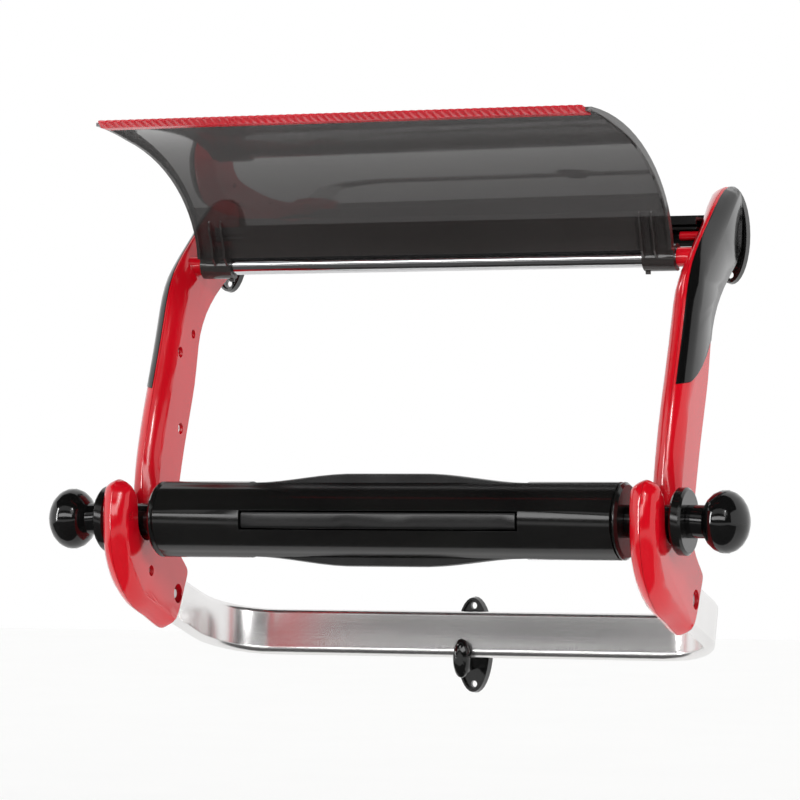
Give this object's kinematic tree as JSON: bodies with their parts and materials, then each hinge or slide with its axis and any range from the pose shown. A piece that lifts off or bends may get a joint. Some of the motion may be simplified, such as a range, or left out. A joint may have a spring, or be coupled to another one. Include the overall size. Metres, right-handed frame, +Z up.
{
  "type": "wall paper roll stand",
  "caption": "Wall-hung stand for a wide paper roll: two hooked side arms, a lift-out spindle with leaf springs, a hinge tube with a hinged hood and toothed strip, a beam and a bent bar.",
  "frame": {"origin": "centre of the bottom wall bracket's back face, on the wall", "axes": "+X along the wall to the right, +Y into the wall, +Z up"},
  "size_m": [0.65, 0.3401, 0.5043],
  "materials": {
    "red": "glossy injection moulding",
    "strip": "glossy",
    "black": "glossy injection moulding",
    "leaf": "semi-gloss",
    "satin": "satin",
    "beam": "satin extrusion",
    "smoke": "clear smoke tint",
    "tube": "polished",
    "bar": "satin anodised",
    "steel": "plated"
  },
  "bodies": {
    "wall_brackets": {"wall_bracket_bottom": "black", "wall_bracket_left": "black", "wall_bracket_right": "black"},
    "frame": {"arm_cover_left": "black", "arm_cover_right": "black", "arm_inner_left": "red", "arm_inner_right": "red", "arm_outer_left": "red", "arm_outer_right": "red", "bar_bolt_left": "steel", "bar_bolt_right": "steel", "bent_bar": "bar", "hinge_tube": "tube", "screw_cover_left": "steel", "screw_cover_right": "steel", "screw_cradle_left": "steel", "screw_cradle_right": "steel", "screw_middle_left": "steel", "screw_middle_right": "steel", "screw_tip_left": "steel", "screw_tip_right": "steel", "screw_upper_left": "steel", "screw_upper_right": "steel", "top_beam": "beam"},
    "hood": {"hood": "smoke", "cutter_strip": "strip"},
    "axle": {"axle_rod": "steel", "neck_sleeve_left": "satin", "neck_sleeve_right": "satin", "flange_left": "satin", "flange_right": "satin", "knob_left": "black", "knob_right": "black"},
    "core": {"spindle_core": "satin", "core_cap_left": "satin", "core_cap_right": "satin"},
    "leaf_front": {"leaf_spring_front": "leaf"},
    "leaf_top": {"leaf_spring_top": "leaf"},
    "leaf_back": {"leaf_spring_back": "leaf"},
    "leaf_bottom": {"leaf_spring_bottom": "leaf"}
  },
  "joints": [
    {"name": "frame_lift", "type": "slide", "parent": "wall_brackets", "child": "frame", "axis": [0, 0, 1], "range_m": [0, 0.05]},
    {"name": "hood_hinge", "type": "hinge", "parent": "frame", "child": "hood", "pos_m": [0, -0.1, 0.3455], "axis": [1, 0, 0], "range_deg": [0, 72]},
    {"name": "spindle_lift", "type": "slide", "parent": "frame", "child": "axle", "axis": [0, 0, 1], "range_m": [0, 0.052]},
    {"name": "core_spin", "type": "hinge", "parent": "axle", "child": "core", "pos_m": [0, -0.212, 0.116], "axis": [1, 0, 0], "continuous": true},
    {"name": "leaf_front_press", "type": "slide", "parent": "core", "child": "leaf_front", "axis": [0, 1, 0], "range_m": [0, 0.005], "stiffness_N_per_m": 4000},
    {"name": "leaf_top_press", "type": "slide", "parent": "core", "child": "leaf_top", "axis": [0, 0, -1], "range_m": [0, 0.005], "stiffness_N_per_m": 4000},
    {"name": "leaf_back_press", "type": "slide", "parent": "core", "child": "leaf_back", "axis": [0, -1, 0], "range_m": [0, 0.005], "stiffness_N_per_m": 4000},
    {"name": "leaf_bottom_press", "type": "slide", "parent": "core", "child": "leaf_bottom", "axis": [0, 0, 1], "range_m": [0, 0.005], "stiffness_N_per_m": 4000}
  ]
}
